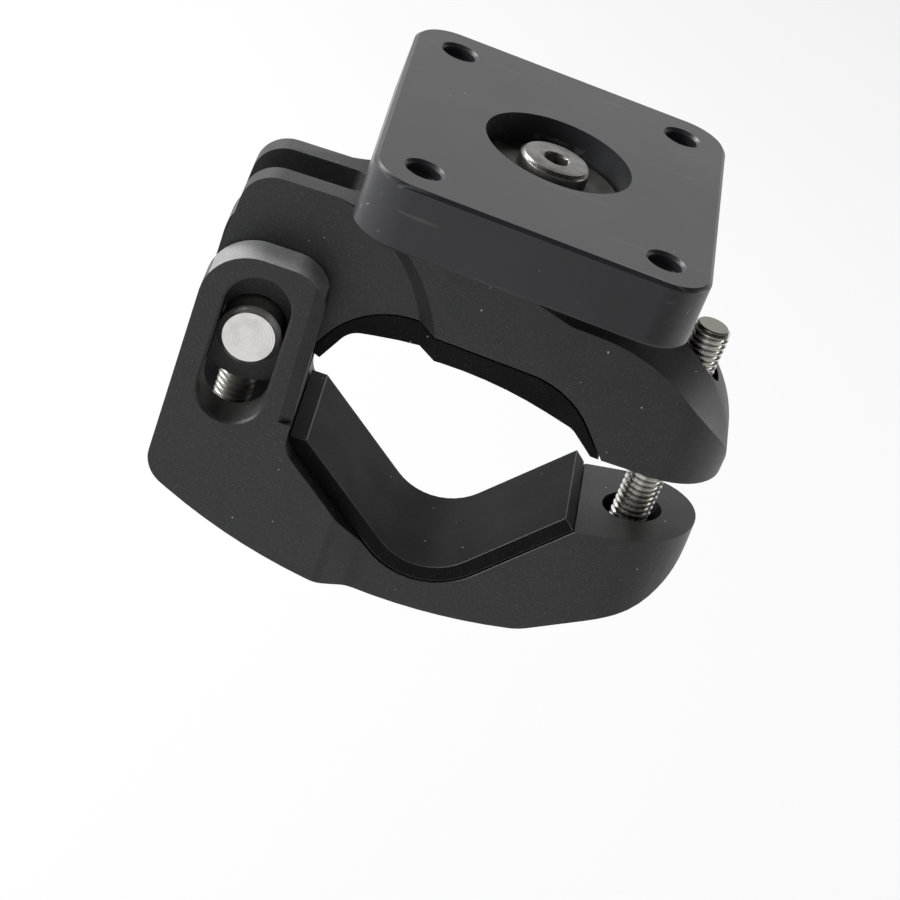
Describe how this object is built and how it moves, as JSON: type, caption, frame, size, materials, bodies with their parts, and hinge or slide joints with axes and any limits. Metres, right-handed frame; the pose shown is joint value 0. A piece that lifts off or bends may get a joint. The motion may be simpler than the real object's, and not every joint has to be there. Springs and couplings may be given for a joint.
{
  "type": "pipe clamp mount",
  "caption": "Black plastic pipe clamp with a pinned fork hinge, vee liners, clamp screws and a swivelling rectangular mounting plate.",
  "frame": {"origin": "centre of the gripped pipe, midway along the jaws", "axes": "+Z square to the mounting plate and out of its top face, +Y along the gripped pipe, +X from the cross pin towards the clamp screw"},
  "size_m": [0.0689, 0.05, 0.0621],
  "materials": {
    "jaw_nylon": "matte glass-filled nylon with a fine grain",
    "liner_nylon": "plain moulded",
    "plate_acetal": "satin, machined",
    "stainless_steel": "turned",
    "washer_steel": "dull",
    "dark_steel": "blackened, worn on its rim",
    "insert_brass": "turned"
  },
  "bodies": {
    "fixed_jaw": {"upper_jaw": "jaw_nylon", "upper_liner": "liner_nylon", "plate_insert": "insert_brass", "plate_screw": "dark_steel", "lug_insert": "insert_brass"},
    "swivel_plate": {"mounting_plate": "plate_acetal", "plate_washer": "washer_steel"},
    "hinge_pin": {"cross_pin": "stainless_steel"},
    "swing_jaw": {"lower_jaw": "jaw_nylon", "lower_liner": "liner_nylon", "pin_screw_washer": "stainless_steel"},
    "pin_screw_body": {"pin_screw": "stainless_steel"},
    "lug_washer_body": {"lug_washer": "stainless_steel"},
    "lug_screw_body": {"lug_screw": "stainless_steel"}
  },
  "joints": [
    {"name": "plate_swivel", "type": "hinge", "parent": "fixed_jaw", "child": "swivel_plate", "pos_m": [0, 0, 0.0321], "axis": [0, 0, 1], "continuous": true},
    {"name": "jaw_close", "type": "hinge", "parent": "fixed_jaw", "child": "hinge_pin", "pos_m": [-0.0273, 0, 0.0072], "axis": [0, -1, 0], "range_deg": [-2, 3]},
    {"name": "pin_travel", "type": "slide", "parent": "hinge_pin", "child": "swing_jaw", "axis": [-0.0384, 0, 0.9993], "range_m": [-0.0048, 0.0027]},
    {"name": "pin_screw_spin", "type": "hinge", "parent": "swing_jaw", "child": "pin_screw_body", "pos_m": [-0.0273, 0, 0.0072], "axis": [-0.0384, 0, 0.9993], "continuous": true},
    {"name": "lug_screw_tilt", "type": "hinge", "parent": "swing_jaw", "child": "lug_washer_body", "pos_m": [0.02585, 0, 0.0072], "axis": [0, -1, 0], "range_deg": [-3, 2]},
    {"name": "lug_screw_spin", "type": "hinge", "parent": "lug_washer_body", "child": "lug_screw_body", "pos_m": [0.02585, 0, 0.0072], "axis": [0, 0, 1], "continuous": true}
  ],
  "couplings": [
    {"joint": "pin_screw_spin", "follows": "pin_travel", "rad_per_m": 7854},
    {"joint": "lug_screw_tilt", "follows": "jaw_close", "ratio": -1},
    {"joint": "lug_screw_spin", "follows": "jaw_close", "ratio": 417.44}
  ]
}
